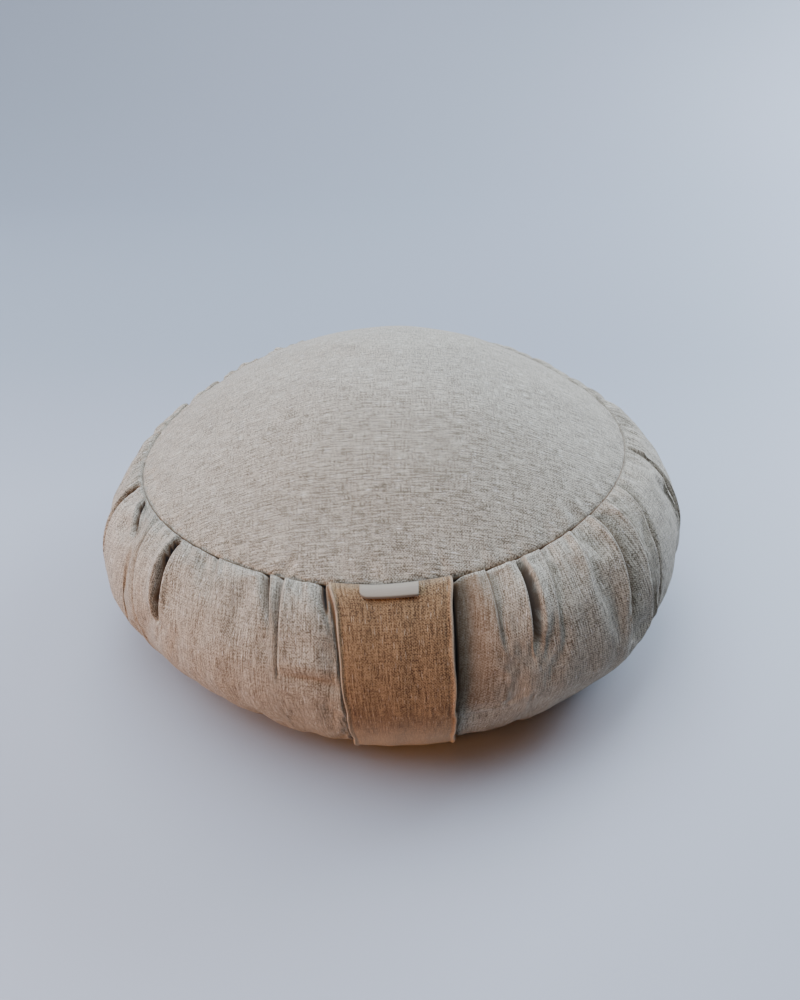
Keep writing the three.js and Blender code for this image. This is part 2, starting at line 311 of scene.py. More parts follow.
def base_point(angle, radius):
    """A circle on the floor, moved a little right and forward."""
    return radial(angle) * radius + vectors(*BASE_SHIFT, np.zeros_like(np.asarray(angle, float)))


def band_point(angle, v):
    """The smooth band. Above its fullest line it is a quarter of a superellipse from the seam outwards,
    below it a flatter quarter back to the base, and soft bulges push it out."""
    angle, v = np.broadcast_arrays(np.asarray(angle, float), np.asarray(v, float))
    upper = v <= WIDEST
    seam = seam_point(angle)
    level = WIDEST_LEVEL * seam[..., 2]
    full = radial(angle) * curve_round(FULL_RADII, angle)[..., None]
    turn = np.where(upper, v / WIDEST, (v - WIDEST) / (1 - WIDEST)).clip(0, 1) * np.pi / 2
    beside = np.abs(turn_between(angle, PRESS_MIDDLE)) - PRESS_REACH
    shoulder = mix(PRESSED_SHOULDER, SHOULDER_ROUND, smooth(beside / PRESS_EDGE))
    sine, cosine = np.sin(turn).clip(0), np.cos(turn).clip(0)
    out = np.where(upper, sine ** (2 / shoulder), cosine ** (2 / TAPER_ROUND))
    up = np.where(upper, cosine ** (2 / shoulder), 1 - sine ** (2 / TAPER_ROUND))
    foot = np.where(upper[..., None], seam, base_point(angle, BASE_RADIUS))
    point = mix(foot, full, out[..., None])
    point[..., 2] = np.where(upper, level + (seam[..., 2] - level) * up, level * up)
    push = sum(b[4] * bump(turn_between(angle, b[0]) / b[2]) * bump((v - b[1]) / b[3]) for b in BULGES)
    return point + radial(angle) * push[..., None]


def band_out(angle, v):
    """The direction straight out of the smooth band: the cross product of its two slopes."""
    here = np.clip(v, 0.01, 0.99)
    along = band_point(angle, here + 0.01) - band_point(angle, here - 0.01)
    about = band_point(angle + 1.0, here) - band_point(angle - 1.0, here)
    out = np.cross(along, about)
    return out / np.linalg.norm(out, axis=-1, keepdims=True)


def top_point(angle, share, crown_height):
    """The crowned top: a dome over the seam circle, falling as a power of one less share squared."""
    seam = seam_point(angle)
    mean = SEAM_HEIGHTS.mean()
    dome = (crown_height - mean) * (1 - share * share).clip(0) ** CROWN_PEAK
    x = seam[..., 0] * share + CROWN_RIGHT * (1 - share)
    return vectors(x, seam[..., 1] * share, mix(mean, seam[..., 2], share) + dome)


def past_lips(angle):
    """How far cloth at an angle lies past the lip of every pleat, in mm: an arc of the ring seam."""
    return np.radians(turn_between(np.asarray(angle)[..., None], PLEAT_ANGLE)) * SEAM_RADIUS * PLEAT_SIDE


def by_depth(slit, soft):
    """For every pleat the first value if it is a slit, and otherwise the second."""
    return np.where(IS_SLIT, slit, soft)


def lean(angles, v):
    """How far cloth has moved round at v: each pleat's lean, eased in, and a share of two between pleats."""
    at = PLEAT_LEAN * np.sin(np.pi / 2 * (v[:, None] / PLEAT_LENGTH).clip(0, 1))
    after = np.searchsorted(PLEAT_ANGLE, angles, side="right") % len(PLEATS)
    before = (after - 1) % len(PLEATS)
    span = (PLEAT_ANGLE[after] - PLEAT_ANGLE[before]) % 360.0
    share = ((angles - PLEAT_ANGLE[before]) % 360.0) / span
    return mix(at[:, before], at[:, after], share)


def pleat_shape(angle, v):
    """How far the pleats push the cloth out, and slide it round, in mm, and how dark their lip lines and
    hollows are painted as shade, or below 0 how pale their crests are painted as highlight.
    A pleat opens fast below the seam, and a slit like a leaf: a power of x, the share of its length, times
    one of 1 - x. Past its lip the cloth drops by its depth and comes back over its mouth, before the lip it
    swells, and the rolled lip reaches out over the hollow. The painted dark line is a flat-topped hill."""
    past = past_lips(angle)
    x = (np.asarray(v)[..., None] / PLEAT_LENGTH).clip(0, 1)
    opening = by_depth(3.6, 2.1) * x ** by_depth(1.1, 0.35) * (1 - x) ** by_depth(0.8, 0.9)
    drop = smooth(past / LIP_ROLL + 0.5)
    shut = by_depth(0.65, 0.3)
    width = PLEAT_MOUTH * (shut + (1 - shut) * opening)
    wall = smooth((past - width) / 2.6 + 0.5)
    recovery = np.where(IS_SLIT, 1 - wall, bump(past.clip(0) / width))
    swell = by_depth(0.4, 1.0) * LIP_SWELL * bump(past / LIP_SWELL_WIDTH) * (past < 0)
    ridge = IS_SLIT * FAR_RIDGE * wall * bump((past - width - 2.0).clip(0) / 4.0)
    rim = LIP_RIM * bump((past + 1.4) / 1.1)
    form = PLEAT_DEPTH * (swell + ridge - (1 + PLEAT_DEPTH / 26.0) * drop * recovery)
    relief = opening * (form + PLEAT_DEPTH.clip(0, 8) * rim)
    slide = opening * PLEAT_SIDE * LIP_OVERHANG * PLEAT_DEPTH.clip(0, 9)
    slide = slide * bump(past / np.where(past < 0, 4.0, 1.5))

    # Painted shade: the dark line at the lip and the hollow below the surface. Painted highlight: the pale
    # crests of a lip and a far wall
    line = np.exp(-((past.clip(0) / (PLEAT_LINE * (0.3 + 0.7 * opening))) ** 6)) * smooth(past / 0.8 + 0.9)
    fading = mix(1.0, PLEAT_LOW, smooth((x - 0.66) / 0.28))
    shade = smooth(opening / 0.4) * line * fading * smooth(PLEAT_DEPTH / 6.0)
    in_slit = (1 - smooth((relief + 2.2) / 2.0)) * (past > -0.4)
    below = np.where(IS_SLIT, in_slit, smooth((-relief - 0.3) / 3.0))
    hollow = by_depth(0.5, 0.3) * below * smooth(opening * PLEAT_DEPTH / 6.0)
    shade *= np.where(IS_SLIT & (past > 0), below, 1.0)
    dark_fold = np.maximum(shade, hollow).max(-1)
    crests = bump((past + 1.0) / 0.8) + IS_SLIT * bump((past - width - 1.7) / 0.8)
    painted_highlight = (CREST_HIGHLIGHT * opening * smooth(PLEAT_DEPTH / 8.0) * crests).max(-1).clip(0, CREST_HIGHLIGHT)
    return relief.sum(-1), slide.sum(-1), np.where(dark_fold > 0.05, dark_fold, -painted_highlight)


def column_angles():
    """Angles of the mesh columns, closest at the lips: even steps of a running total of closeness."""
    fine = np.linspace(-180.0, 180.0, FINE_ANGLES)
    past = past_lips(fine)
    close = 1.0 + (0.34 * PLEAT_DEPTH.clip(2.5, 10) * bump(past / 3.2)).sum(1)
    close += (2.4 * IS_SLIT * bump((past - PLEAT_MOUTH) / 2.6)).sum(1)
    close += sum(1.8 * bump((fine - edge) / 2.0) for edge in STRAP_EDGES)
    total = np.concatenate([[0.0], np.cumsum((close[1:] + close[:-1]) / 2)])
    count = 4 * TOP_CELLS
    return np.interp(np.arange(count) * total[-1] / count, total, fine)


def band_rows():
    """Values of v for the mesh rows: even steps, drawn closer by sines near both seams and by a steep step
    at the crease."""
    even = np.linspace(0.0, 1.0, BAND_STEPS + 1)
    near_crease = 0.02 * np.tanh((even - 0.36) / 0.03) * bump((even - 0.36) / 0.11)
    return even - 0.084 * np.sin(2 * np.pi * even) - 0.02 * np.sin(4 * np.pi * even) - near_crease


def seam_groove(distance, depth):
    """The cloth beside a seam, in mm above its smooth place: a narrow valley and a low roll beside it."""
    return -depth * bump(distance / 0.6) + 0.35 * bump((distance - 3.0) / 2.2)


def seam_depth(angle):
    """The ring seam is drawn in most at the front, and half as much at the sides and the back."""
    front = bump(turn_between(angle, 0.0) / SEAM_FRONT_REACH)
    return mix(BACK_SEAM_DEPTH, FRONT_SEAM_DEPTH, front)


def seam_direction(angle):
    """Across the valley of the ring seam: half way between the top's and the band's outward directions."""
    return radial(angle) * 0.3 + np.array([0.0, 0.0, 0.954])


def strap_side(angle, v):
    """Distance outside the strap's nearer edge in mm, below 0 under it, and whether it is the right edge."""
    across = np.radians(turn_between(angle, strap_at(v, MIDDLE))) * -band_point(0.0, v)[..., 1]
    return np.abs(across) - strap_at(v, WIDTH) / 2, across > 0


def band_surface(angles):
    """The pleated band as rows of points from the ring seam to the base seam.
    It is the smooth band, leaned at its pleats and moved along its outward direction by pleats, puckers
    at the seams, low unevenness, a valley along each edge of the strap and the crease left of it, and
    round the rim by the overhang of the lips. Each is a hill or an eased step about its place."""
    v = band_rows()[:, None]
    leaned = angles + lean(angles, v[:, 0])
    smooth_band = band_point(leaned, v)
    out = band_out(leaned, v)
    steps = np.linalg.norm(np.diff(smooth_band, axis=0), axis=-1)
    down = np.concatenate([np.zeros((1, len(angles))), np.cumsum(steps, axis=0)])
    up = down[-1] - down
    relief, slide, painted_shading = pleat_shape(angles, np.broadcast_to(v, leaned.shape))
    pucker = 0.7 * soft_noise(angles, v, 11, 14, (40, 95), 0.5) * bump((down - 6.0) / 12.0)
    pucker += 0.4 * soft_noise(angles, v, 15, 14, (95, 170), 0.4) * bump((down - 4.0) / 9.0)
    tucks = 0.6 * soft_noise(angles, v, 12, 14, (34, 80), 0.4) * bump((up - 6.0) / 12.0)
    ridges = 0.45 * soft_noise(angles, v, 13, 22, (18, 60), 0.6) * smooth(down / 14.0) * smooth(up / 18.0)
    lumps = 0.8 * soft_noise(angles, v, 14, 12, (3, 11), 1.4) * smooth(down / 25.0) * smooth(up / 25.0)
    beside_strap = np.abs(turn_between(leaned, PRESS_MIDDLE)) - 9.5
    open_cloth = smooth(down / 3.0) * smooth(up / 4.0) * mix(0.15, 1.0, smooth(beside_strap / 3.0))
    outside, right = strap_side(leaned, v)
    gap = np.where(right, mix(3.8, 1.5, smooth(v / 0.45)), 1.2)
    valley = np.where(right, -1.6, -1.3) * bump((outside - gap / 2) / (0.6 * gap + 0.3)) * (v < STRAP_END)
    fallen = (v - CREASE_LEVEL) / 0.02
    beside_crease = bump((leaned - CREASE_ANGLE) / CREASE_REACH)
    hill = 2.6 * bump(fallen / 2.2) * smooth(0.5 - fallen / 1.4)
    crease = (hill - 1.2 * bump((fallen - 0.9) / 0.8)) * beside_crease
    valley -= right * 1.5 * bump(outside / 16.0) * smooth(v / 0.1) * smooth((0.7 - v) / 0.3)
    moved = relief + (pucker + tucks + ridges + lumps) * open_cloth
    moved = moved + seam_groove(up, BASE_SEAM_DEPTH) + valley + crease
    points = smooth_band + out * moved[..., None] + roundabout(leaned) * slide[..., None]
    points += seam_direction(leaned) * seam_groove(down, seam_depth(leaned))[..., None]
    points[..., 2] = points[..., 2].clip(0.0)
    # Painted shade beside the strap: a dark line in the gap along each edge, and a broad soft shade right of
    # it
    beside = np.where(right, 0.62, 0.55) * np.exp(-((outside / gap) ** 4)) * (outside > -3) * (v < STRAP_END)
    soft_shade = 0.42 * right * np.exp(-((outside / 29.0) ** 2)) * smooth((0.64 - v) / 0.34)
    beside = np.maximum(beside, soft_shade) * smooth(v / 0.03)
    painted_shading = np.where(beside > 0.02, np.maximum(painted_shading, beside), painted_shading)
    # Painted shade under the crease left of the strap, and dark painted shade lines in both seams
    painted_shading = np.maximum(painted_shading, 0.26 * bump((fallen - 0.6) / 0.7) * beside_crease)
    seam = mix(0.3, 1.0, smooth((seam_depth(leaned) - 1.4) / 0.9)) * bump(down / 0.4)
    painted_shading = np.maximum(painted_shading, np.maximum(seam, 0.85 * bump(up / 0.8)))
    return points, down, painted_shading


def square_to_disc(cells):
    """A square grid drawn out to a disc: each square ring of cells becomes a circle, with its points evenly
    round it. Returns the share of the radius and the angle of every grid point."""
    half = cells // 2
    i, j = np.meshgrid(np.arange(-half, half + 1), np.arange(-half, half + 1), indexing="ij")
    ring = np.maximum(np.abs(i), np.abs(j))
    flat = np.abs(i) >= np.abs(j)
    with np.errstate(divide="ignore", invalid="ignore"):
        eighth = np.where(flat, j / np.where(i == 0, 1, i), i / np.where(j == 0, 1, j))
    turn = np.where(flat, 45.0 * eighth + 180.0 * (i < 0), 90.0 - 45.0 * eighth + 180.0 * (j < 0))
    return ring / half, turn % 360.0


def top_surface(angles, crown_height):
    """The top panel as a grid of points, with its rim on the ring seam's columns.
    It is the dome, closer rings near the seam, with low lumps of filling and fine puckers at its rim."""
    even, turn = square_to_disc(TOP_CELLS)
    share = 1.06 * even - 0.06 * even**12
    count = len(angles)
    place = turn / 360.0 * count
    own = np.interp(place, np.arange(count + 1), np.append(angles, angles[0] + 360.0))
    angle = mix(turn - 180.0, own, even**2)
    points = top_point(angle, share, crown_height)
    inward = (1.0 - share) * SEAM_RADIUS
    x, y = points[..., 0] / SEAM_RADIUS, points[..., 1] / SEAM_RADIUS
    rng = np.random.default_rng(21)
    lumps = np.zeros_like(x)
    for size in (1.2, 1.7, 2.3, 3.1, 4.0, 5.2, 6.5):
        way, phase = rng.uniform(0, 2 * np.pi, 2)
        lumps += np.sin(np.pi * size * (x * np.cos(way) + y * np.sin(way)) + phase) / size
    pucker = 0.25 * soft_noise(angle, share, 22, 16, (36, 90), 0.3) * bump((inward - 5.0) / 8.0)
    points[..., 2] += 0.9 * lumps * smooth(inward / 40.0) + pucker * smooth(inward / 3.0)
    points += seam_direction(angle) * seam_groove(inward, seam_depth(angle))[..., None]
    rim = np.where(even > 0.9999, np.rint(place) % count, -1).astype(int)
    return points, rim


def base_surface(angles):
    """The base panel under the cushion: rings from the base seam's roll down to the floor and inwards."""
    rings = [base_point(angles, BASE_RADIUS * share) for share, _ in BASE_RINGS]
    for ring, (_, height) in zip(rings, BASE_RINGS):
        ring[..., 2] = height
    return np.array(rings)


def cover_uv(angles, down):
    """Cloth coordinates of the band in metres. Across: the fullest line's length at every level, with what
    the narrower seam leaves over taken up in steps at the pleats. Along: the distance down from the seam."""
    rate = mix(SEAM_RADIUS, MEAN_FULLEST, smooth(down / 85.0))
    past = past_lips(angles)
    passed = smooth(past * PLEAT_SIDE / 4.0 + 0.5)
    far_off = np.abs(past) > 300.0
    passed = np.where(far_off, (turn_between(angles[:, None], 0.0) > PLEAT_ANGLE), passed)
    taken = (passed * PLEAT_DEPTH / PLEAT_DEPTH.sum()).sum(1)
    taken = taken - np.interp(0.0, angles, taken)
    across = np.radians(angles) * rate + (MEAN_FULLEST - rate) * 2 * np.pi * taken
    return np.stack([across, down], axis=-1) * MM


def wall_uv(cloth, after, band, angles):
    """Cloth coordinates of the near and far corners of every face. Inside a slit the way across is the
    running length of the row itself, so that the weave isn't drawn out on its walls."""
    near, far = cloth.copy(), after.copy()
    rows = len(band)
    steps = np.linalg.norm(np.roll(band, -1, axis=1) - band, axis=-1) * MM
    run = np.concatenate([np.zeros((rows, 1)), np.cumsum(steps, axis=1)], axis=1)
    for past, mouth in zip(past_lips(angles).T[IS_SLIT], PLEAT_MOUTH[IS_SLIT]):
        inside = np.flatnonzero((past > -1.5) & (past < mouth + 3.0))
        first = inside[0]
        start = cloth[:rows, first, 0][:, None] - run[:, first][:, None]
        near[:rows, inside, 0] = start + run[:, inside]
        far[:rows, inside, 0] = start + run[:, inside + 1]
    return near, far


def join_cover(top, rim, band, base):
    """Joins the top grid, the band rows and the base rings into one closed skin. The top's rim and the
    band's first row are the same points. Returns points, three groups of faces, and ids of grid and rows."""
    count = band.shape[1]
    grid = np.arange(rim.size).reshape(rim.shape)
    rim_ids = np.empty(count, int)
    rim_ids[rim[rim >= 0]] = grid[rim >= 0]
    flat_top = top.reshape(rim.size, -1).copy()
    flat_top[rim_ids] = band[0]
    lower = np.concatenate([band[1:], base])
    middle = base[-1].mean(axis=0, keepdims=True)
    points = np.concatenate([flat_top, lower.reshape(-1, lower.shape[-1]), middle])
    lower_ids = grid.size + np.arange(len(lower) * count).reshape(-1, count)
    rows = np.concatenate([rim_ids[None], lower_ids])
    tops = np.stack([grid[:-1, :-1], grid[1:, :-1], grid[1:, 1:], grid[:-1, 1:]], -1).reshape(-1, 4)
    ends = np.stack([rows[-1], np.full(count, len(points) - 1), np.roll(rows[-1], -1)], -1)
    return points, tops, quads_between(rows), ends, grid, rows


def quads_between(rows):
    """Faces between each row of point ids and the next one, closed round the rows."""
    far = np.roll(rows, -1, axis=1)
    return np.stack([rows[:-1], rows[1:], far[1:], far[:-1]], -1).reshape(-1, 4)


def finer(field, closed):
    """Doubles the steps of a grid along its first two axes: a new value half way between each two, from the
    four nearest by ninths less sixteenths. closed says that the second axis runs round."""
    for axis, ring in ((0, False), (1, closed)):
        f = np.moveaxis(field, axis, 0)
        if ring:
            padded = np.concatenate([f[-1:], f, f[:2]])
        else:
            padded = np.concatenate([2 * f[:1] - f[1:2], f, 2 * f[-1:] - f[-2:-1]])
        between = (9 * (padded[1:-2] + padded[2:-1]) - padded[:-3] - padded[3:]) / 16
        out = np.empty((len(f) + len(between),) + f.shape[1:])
        out[0::2], out[1::2] = f, between
        field = np.moveaxis(out, 0, axis)
    return field


def wrinkles_of(moved, closed):
    """What is left of a grid of movements after a share of its even swelling is taken off, which the
    worked-out shape already holds. The swelling is the movement averaged with its neighbours many times."""
    even = moved
    for _ in range(CLOTH_EVENING):
        for axis, ring in ((0, False), (1, closed)):
            f = np.moveaxis(even, axis, 0)
            padded = np.concatenate([f[-1:], f, f[:1]] if ring else [f[:1], f, f[-1:]])
            even = np.moveaxis((padded[:-2] + 2 * f + padded[2:]) / 4, 0, axis)
    return moved - SWELLING_OFF * even


def blown_up(points, faces, hold, pressure):
    """Cloth simulation: the closed cover, cut a little large and held at its seams and folds, is filled by
    pressure from inside. Returns how far each point has moved, in mm, up to CLOTH_REACH."""
    mesh = bpy.data.meshes.new("cloth_copy")
    mesh.from_pydata((points * MM).tolist(), [], faces)
    copy = bpy.data.objects.new("cloth_copy", mesh)
    scene = bpy.context.scene
    scene.collection.objects.link(copy)
    group = copy.vertex_groups.new(name="held")
    for tenths in range(1, 11):
        ids = np.flatnonzero(np.rint(hold * 10) == tenths)
        group.add(ids.tolist(), tenths / 10, "REPLACE")
    cloth = copy.modifiers.new("cloth", "CLOTH")
    settings = cloth.settings
    settings.quality = 6
    settings.mass = 0.3
    settings.tension_stiffness = settings.compression_stiffness = 12.0
    settings.shear_stiffness = 6.0
    settings.bending_stiffness = 0.4
    settings.use_pressure = True
    settings.uniform_pressure_force = pressure
    settings.shrink_min = CLOTH_SHRINK
    settings.vertex_group_mass = "held"
    settings.effector_weights.gravity = 0.0
    cloth.collision_settings.use_collision = False
    cloth.point_cache.frame_start, cloth.point_cache.frame_end = 1, CLOTH_FRAMES
    for step in range(1, CLOTH_FRAMES + 1):
        scene.frame_set(step)
    graph = bpy.context.evaluated_depsgraph_get()
    result = np.empty(len(points) * 3)
    copy.evaluated_get(graph).data.vertices.foreach_get("co", result)
    moved = result.reshape(-1, 3) / MM - points
    scene.frame_set(1)
    bpy.data.objects.remove(copy)
    bpy.data.meshes.remove(mesh)
    far = np.linalg.norm(moved, axis=1, keepdims=True)
    return moved * (CLOTH_REACH * np.tanh(far / CLOTH_REACH) / np.maximum(far, 1e-9))


def settled(top, rim, band, base, painted_shading, angles, pressure):
    """Adds the cloth simulation of every second point to the top and the band. The seams, the deep folds,
    the base and the cloth under the strap are held."""
    rows, columns = band_rows()[::2], angles[::2]
    coarse_rim = np.where(rim[::2, ::2] >= 0, rim[::2, ::2] // 2, -1)
    press = 1 - smooth((np.abs(turn_between(columns, PRESS_MIDDLE)) - 9.0) / 4.0)
    seams = 1 - smooth(rows / 0.04) * smooth((0.97 - rows) / 0.06)
    held_band = np.maximum(np.maximum(seams[:, None], press[None]), smooth(painted_shading[::2, ::2] * 2.5))
    parts = (top[::2, ::2], band[::2, ::2], base[:, ::2])
    holds = (coarse_rim >= 0, held_band, np.ones(parts[2].shape[:2]))
    held = [np.concatenate([part, hold[..., None]], axis=-1) for part, hold in zip(parts, holds)]
    points, tops, sides, ends, grid, ids = join_cover(held[0], coarse_rim, held[1], held[2])
    faces = tops.tolist() + sides.tolist() + ends.tolist()
    moved = blown_up(points[:, :3], faces, points[:, 3].clip(0, 1), pressure)
    top_moved = finer(wrinkles_of(moved[grid], False), False)
    band_moved = finer(wrinkles_of(moved[ids[: len(rows)]], True), True)
    return top + TOP_WRINKLES * top_moved, band + band_moved


def cover_parts(crown_height, pressure, simulate):
    """Points, faces, cloth coordinates and painted shading of the closed cover."""
    angles = column_angles()
    top, rim = top_surface(angles, crown_height)
    band, down, painted_shading = band_surface(angles)
    base = base_surface(angles)
    if simulate:
        top, band = settled(top, rim, band, base, painted_shading, angles, pressure)
    points, tops, sides, ends = join_cover(top, rim, band, base)[:4]
    faces = tops.tolist() + sides.tolist() + ends.tolist()

    # Painted shade: the ring seam's shade on the top is a narrow hill at its rim, and the base has none
    inward = (1.0 - square_to_disc(TOP_CELLS)[0]) * SEAM_RADIUS
    top_painted_shade = bump(inward / 0.4)[..., None] * 0.6
    folds = join_cover(top_painted_shade, rim, painted_shading[..., None], np.zeros(base.shape[:2] + (1,)))[0]

    # Cloth coordinates: a plan view on the top and the base, the unrolled band between them
    count = len(angles)
    plan = points[:, [1, 0]] * MM + TOP_CUT * MM
    cloth = np.concatenate([cover_uv(angles, down), np.zeros((len(base), count, 2))])
    after = np.roll(cloth, -1, axis=1)
    after[:, -1, 0] += 2 * np.pi * MEAN_FULLEST * MM
    near, far = wall_uv(cloth, after, band, angles)
    side_uv = np.stack([near[:-1], near[1:], far[1:], far[:-1]], 2).reshape(-1, 2)
    band_faces = BAND_STEPS * count
    side_uv[band_faces * 4 :] = plan[sides[band_faces:].ravel()]
    uvs = np.concatenate([plan[tops.ravel()], side_uv, plan[ends.ravel()]])
    return points, faces, uvs, folds[:, 0].clip(-1, 1)


def strap_at(v, column):
    """A column of the strap rows at v, eased from row to row."""
    v = np.asarray(v, float)
    after = np.searchsorted(STRAP[:, 0], v).clip(1, len(STRAP) - 1)
    low, high = STRAP[after - 1], STRAP[after]
    share = smooth((v - low[..., 0]) / (high[..., 0] - low[..., 0]))
    return mix(low[..., column], high[..., column], share)


def strap_point(across, v, height):
    """A point over the band: across is mm from the strap's middle, height is mm off the band. Towards each
    edge the strap lifts off by a cube of the way across."""
    angle = strap_at(v, MIDDLE) + across / (np.radians(1.0) * -band_point(0.0, v)[..., 1])
    u = (across / (strap_at(v, WIDTH) / 2) + 1) / 2
    lift = strap_at(v, LEFT_LIFT) * (1 - u).clip(0) ** 3 + strap_at(v, RIGHT_LIFT) * u.clip(0) ** 3
    return band_point(angle, v) + band_out(angle, v) * (GAP + lift + height)[..., None]


def strap_body(v):
    """Thickness of the strap at v: two layers of cloth, pressed thin where the seams hold its ends."""
    from_end = np.minimum(v - STRAP_START, STRAP_END - v)
    return mix(STRAP_SEWN, STRAP_THICK, smooth(from_end / STRAP_THINNING))


def tube_faces(shape):
    """Faces of a closed tube through rows of points round it, with flat ends."""
    ids = np.arange(shape[0] * shape[1]).reshape(shape[:2])
    return quads_between(ids).tolist() + [ids[0].tolist(), ids[-1][::-1].tolist()]


def at_corners(across, along, faces):
    """Cloth coordinates in metres of every corner of every face, from those of the points in mm."""
    cloth = np.stack(np.broadcast_arrays(across, along), -1).reshape(-1, 2) * MM
    return cloth[[corner for face in faces for corner in face]]


def strap_parts():
    """The strap: a flat closed profile carried down the band. Two layers of cloth, with the rolled edge
    where the cloth turns over standing up at both sides and a valley beside it. Returns its length in mm
    too."""
    w = np.linspace(0.0, 1.0, STRAP_STEPS + 1)
    v = mix(STRAP_START, STRAP_END, w)[:, None]
    even = np.linspace(-1, 1, STRAP_COLUMNS)
    u = np.sin(even * np.pi / 2) * 0.5 + even * 0.5
    half = strap_at(v, WIDTH) / 2 + 0.35 * np.sin(w * 23.0 + 1.0)[:, None]
    half = half + 0.25 * np.sin(w * 41.0)[:, None]
    edge = (1 - np.abs(u)) * half
    foot = smooth((STRAP_END - v) / 0.12) * smooth((v - STRAP_START) / 0.04)
    rim = np.where(u > 0, 0.9, 0.6) * (bump((edge - 1.0) / 0.8) - 0.3 * bump((edge - 3.2) / 1.3))
    waves = 0.3 * np.sin(u * 9 + w[:, None] * 5) * (1 - u * u)
    body = strap_body(v) + (rim + waves) * foot
    thick = body * np.sqrt(1 - (1 - (edge / 1.1).clip(0, 1)) ** 2).clip(0.02)
    outer = strap_point(u * half, v, thick)
    inner_u = u[-2:0:-2]
    inner = strap_point(inner_u * half, v, np.zeros((STRAP_STEPS + 1, len(inner_u))))
    rings = np.concatenate([outer, inner], axis=1)
    faces = tube_faces(rings.shape)
    # Painted highlight: pale along both rolled edges, and rising over the lower half of the strap
    painted_highlight = 0.7 * bump((edge - 0.8) / 0.55) * foot + smooth((v - 0.45) / 0.35)
    painted_shading = np.concatenate([-painted_highlight, np.zeros(inner.shape[:2])], axis=1)
    steps = np.linalg.norm(np.diff(outer[:, len(u) // 2], axis=0), axis=-1)
    along = np.concatenate([[0], np.cumsum(steps)])
    middle_half = half[STRAP_STEPS // 2]
    across = np.concatenate([u * middle_half, inner_u * middle_half + STRAP_INNER_CUT]) + STRAP_CUT
    uvs = at_corners(across[None, :], along[:, None], faces)
    return rings.reshape(-1, 3), faces, uvs, painted_shading.ravel(), float(along[-1])


def label_parts():
    """The label: a tape folded at its lower end. A hairpin path, given its thickness on both sides, is
    carried across the width, and its left end is rounded off by a quarter circle."""
    steps = 20
    w = np.linspace(0.0, 1.0, steps)
    a = np.linspace(np.pi / 2, -np.pi / 2, 9)[1:-1]
    front = np.stack([w * TAPE_LENGTH, TAPE_BOW * np.sin(w * np.pi / 2) + 0.6], -1)
    middle, radius = front[-1, 1] / 2 + 0.1, front[-1, 1] / 2 - 0.1
    nose = np.stack([TAPE_LENGTH + radius * np.cos(a), middle + radius * np.sin(a)], -1)
    back = np.stack([w[::-1] * TAPE_LENGTH, np.full(steps, 0.2)], -1)
    path = np.concatenate([front, nose, back])
    slope = np.gradient(path, axis=0)
    normal = np.stack([-slope[:, 1], slope[:, 0]], -1) / np.linalg.norm(slope, axis=1, keepdims=True)
    outward = normal * TAPE_THICK / 2
    profile = np.concatenate([path + outward, (path - outward)[::-1]])
    share = np.linspace(-1.0, 1.0, 49)
    across = (0.7 * share + 0.3 * np.sin(share * np.pi / 2))[:, None] * LABEL_WIDTH / 2
    from_left = ((across + LABEL_WIDTH / 2) / TAPE_CORNER).clip(0, 1)
    cut = TAPE_CORNER * (1 - np.sqrt(1 - (1 - from_left) ** 2)) / TAPE_LENGTH
    v = mix(LABEL_START, LABEL_END, profile[:, 0] / TAPE_LENGTH * (1 - cut))
    height = profile[:, 1] * (1 - 0.8 * cut) + strap_body(v) + GAP + 0.25 * np.sin(across / 7.0)
    start = np.full_like(v, LABEL_START)
    drift = band_point(LABEL_MIDDLE, v)[..., 0] - band_point(LABEL_MIDDLE, start)[..., 0]
    beside = (LABEL_MIDDLE - strap_at(v, MIDDLE)) * np.radians(1.0) * SEAM_RADIUS - drift
    rings = strap_point(beside + across, v, height)
    faces = [face[::-1] for face in tube_faces(rings.shape)]
    # Painted shade: dark at the top, where the tape goes into the seam, and under its folded end
    under_fold = smooth((profile[:, 0] - TAPE_LENGTH + 0.4) / 0.8)
    painted_shading = np.broadcast_to(0.8 * bump(profile[:, 0] / 0.8) + 0.6 * under_fold, v.shape).ravel()
    along = np.concatenate([np.arange(len(path)), np.arange(len(path))[::-1]]) * 0.5
    return rings.reshape(-1, 3), faces, at_corners(across, along, faces), painted_shading


def new_mesh(name, material, points, faces, uvs, painted_shading):
    """A smooth mesh from points in mm, lists of corners, one cloth coordinate for each corner of each face,
    and how much painted shade each point gets, up to 1, or below 0 how much painted highlight it gets."""
    mesh = bpy.data.meshes.new(name)
    mesh.from_pydata(((points - BOX_MIDDLE) * MM).tolist(), [], faces)
    layer = mesh.uv_layers.new(name="cloth")
    layer.data.foreach_set("uv", np.asarray(uvs, np.float32).ravel())
    mesh.attributes.new("painted_shading", "FLOAT", "POINT").data.foreach_set("value", painted_shading.astype(np.float32))
    mesh.polygons.foreach_set("use_smooth", np.ones(len(faces), bool))
    mesh.materials.append(material)
    mesh.update()
    piece = bpy.data.objects.new(name, mesh)
    bpy.context.scene.collection.objects.link(piece)
    return piece


def linear(hex_colour):
    """An sRGB hex colour such as "#c0a080" as linear red, green, blue and 1."""
    parts = [int(hex_colour[i : i + 2], 16) / 255 for i in (1, 3, 5)]
    return tuple(c / 12.92 if c <= 0.04045 else ((c + 0.055) / 1.055) ** 2.4 for c in parts) + (1.0,)


def tinted(colour, red, green, blue):
    """A linear colour with its three parts multiplied by these shares."""
    return (colour[0] * red, colour[1] * green, colour[2] * blue, 1.0)


def add_node(tree, kind, settings=None, values=None, links=None):
    """Adds a node, sets its settings and input values, and links its inputs to other nodes' outputs."""
    node = tree.nodes.new("ShaderNode" + kind)
    for key, value in (settings or {}).items():
        setattr(node, key, value)
    for key, value in (values or {}).items():
        node.inputs[key].default_value = value
    for key, output in (links or {}).items():
        tree.links.new(output, node.inputs[key])
    return node


def new_material(name):
    """A material with no nodes yet, and its node tree."""
    material = bpy.data.materials.new(name)
    material.use_nodes = True
    material.node_tree.nodes.clear()
    return material, material.node_tree


